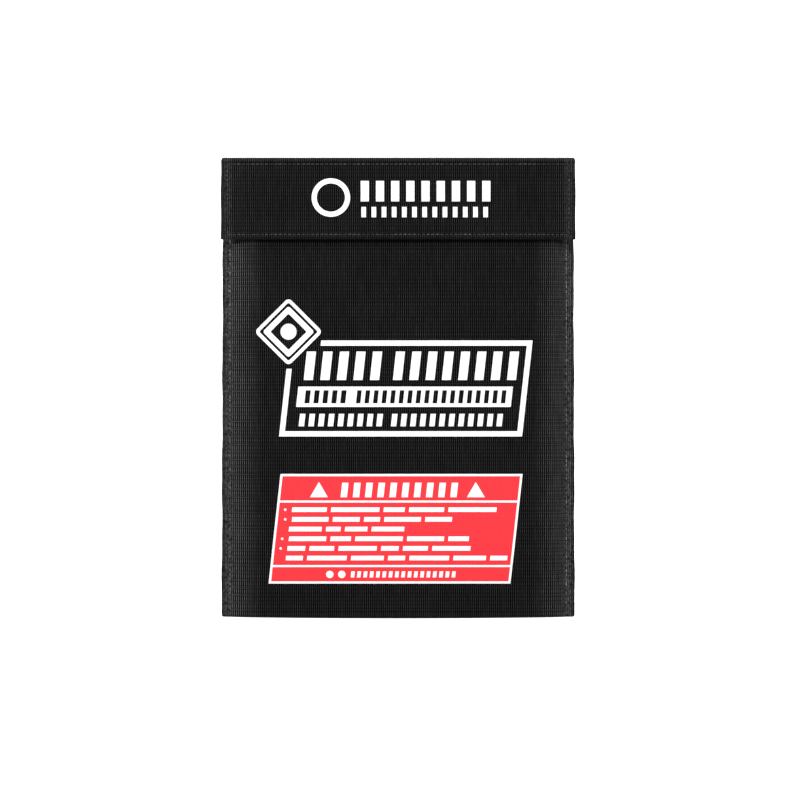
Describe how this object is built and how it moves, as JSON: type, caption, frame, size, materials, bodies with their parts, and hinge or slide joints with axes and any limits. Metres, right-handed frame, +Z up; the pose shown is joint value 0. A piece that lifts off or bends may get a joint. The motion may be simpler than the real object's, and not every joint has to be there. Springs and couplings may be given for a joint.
{
  "type": "battery safety bag",
  "caption": "Flat fire-resistant cloth pouch for rechargeable batteries, with a fold-over flap that closes on hook-and-loop tape.",
  "frame": {"origin": "centre of the bag's footprint, on the surface that its back lies on", "axes": "+Z up out of the printed front, +Y from the bottom fold to the mouth, +X to the right of the print"},
  "size_m": [0.2304, 0.3, 0.0124],
  "materials": {
    "coated_cloth": "satin coated weave",
    "barrier_cloth": "matte glass-fibre weave",
    "fastener_tape": "matte hook and loop pile",
    "sewing_thread": "matte twisted thread",
    "white_film": "satin transfer film",
    "red_film": "satin transfer film"
  },
  "bodies": {
    "pouch": {"back_panel": "coated_cloth", "back_lining": "barrier_cloth", "bottom_fold": "coated_cloth", "bottom_fold_lining": "barrier_cloth", "front_panel": "coated_cloth", "front_lining": "barrier_cloth", "mouth_hem": "coated_cloth", "loop_strip": "fastener_tape", "mouth_hem_thread": "sewing_thread", "left_seam_edge": "coated_cloth", "left_seam_thread": "sewing_thread", "right_seam_edge": "coated_cloth", "right_seam_thread": "sewing_thread", "badge_base_print": "white_film", "badge_field_print": "coated_cloth", "badge_centre_print": "white_film", "title_frame_print": "white_film", "title_first_bar_print": "white_film", "title_second_bar_print": "white_film", "title_white_bar_print": "white_film", "title_small_bar_print": "white_film", "notice_base_print": "white_film", "notice_panel_print": "red_film", "notice_upper_rule_print": "white_film", "notice_lower_rule_print": "white_film", "notice_header_bar_print": "white_film", "notice_footer_bar_print": "white_film", "notice_line_1_print": "white_film", "notice_line_2_print": "white_film", "notice_line_3_print": "white_film", "notice_line_4_print": "white_film", "notice_line_5_print": "white_film", "notice_line_6_print": "white_film", "notice_left_triangle_print": "white_film", "notice_right_triangle_print": "white_film"},
    "top_fold": {"top_fold": "coated_cloth", "top_fold_lining": "barrier_cloth"},
    "flap": {"flap_cover": "coated_cloth", "flap_lining": "barrier_cloth", "hook_strip": "fastener_tape", "flap_thread": "sewing_thread", "flap_emblem_print": "white_film", "flap_upper_bar_print": "white_film", "flap_lower_bar_print": "white_film"}
  },
  "joints": [
    {"name": "fold_lower", "type": "hinge", "parent": "pouch", "child": "top_fold", "pos_m": [0, 0.14897, 0.00171], "axis": [-1, 0, 0], "range_deg": [0, 90]},
    {"name": "fold_upper", "type": "hinge", "parent": "top_fold", "child": "flap", "pos_m": [0, 0.14897, 0.00999], "axis": [-1, 0, 0], "range_deg": [0, 90]}
  ],
  "couplings": [
    {"joint": "fold_upper", "follows": "fold_lower", "ratio": 1}
  ]
}
